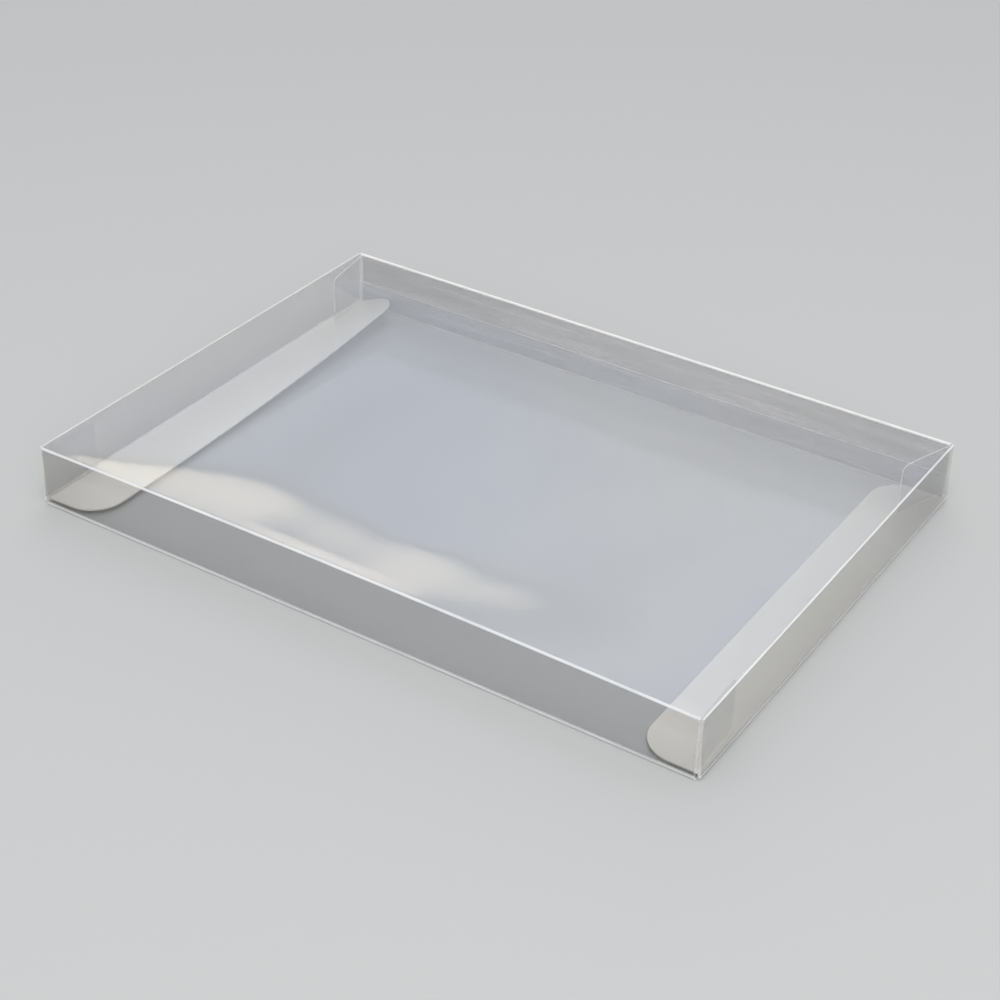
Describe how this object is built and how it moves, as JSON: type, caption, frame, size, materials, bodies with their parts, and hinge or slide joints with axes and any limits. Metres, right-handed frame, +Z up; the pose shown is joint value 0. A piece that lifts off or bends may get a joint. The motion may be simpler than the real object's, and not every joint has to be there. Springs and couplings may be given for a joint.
{
  "type": "game box protector",
  "caption": "Clear film box that slips over a flat game case, with a glued seam and a tuck flap at each short end.",
  "frame": {"origin": "middle of the footprint, on the surface the box lies on", "axes": "+X along the box from the left to the right end flap, +Y from the front wall to the glued back wall, +Z up through the top panel"},
  "size_m": [0.192, 0.137, 0.017],
  "materials": {
    "film": "clear, slightly milky glossy film"
  },
  "bodies": {
    "sleeve": {"sleeve": "film"},
    "left_flap": {"left_end_flap": "film", "left_tongue": "film"},
    "right_flap": {"right_end_flap": "film", "right_tongue": "film"}
  },
  "joints": [
    {"name": "left_flap_hinge", "type": "hinge", "parent": "sleeve", "child": "left_flap", "pos_m": [-0.09524, 0, 0.0168], "axis": [0, 1, 0], "range_deg": [0, 150], "deforming": ["left_tongue"]},
    {"name": "right_flap_hinge", "type": "hinge", "parent": "sleeve", "child": "right_flap", "pos_m": [0.09524, 0, 0.0168], "axis": [0, -1, 0], "range_deg": [0, 150], "deforming": ["right_tongue"]}
  ]
}
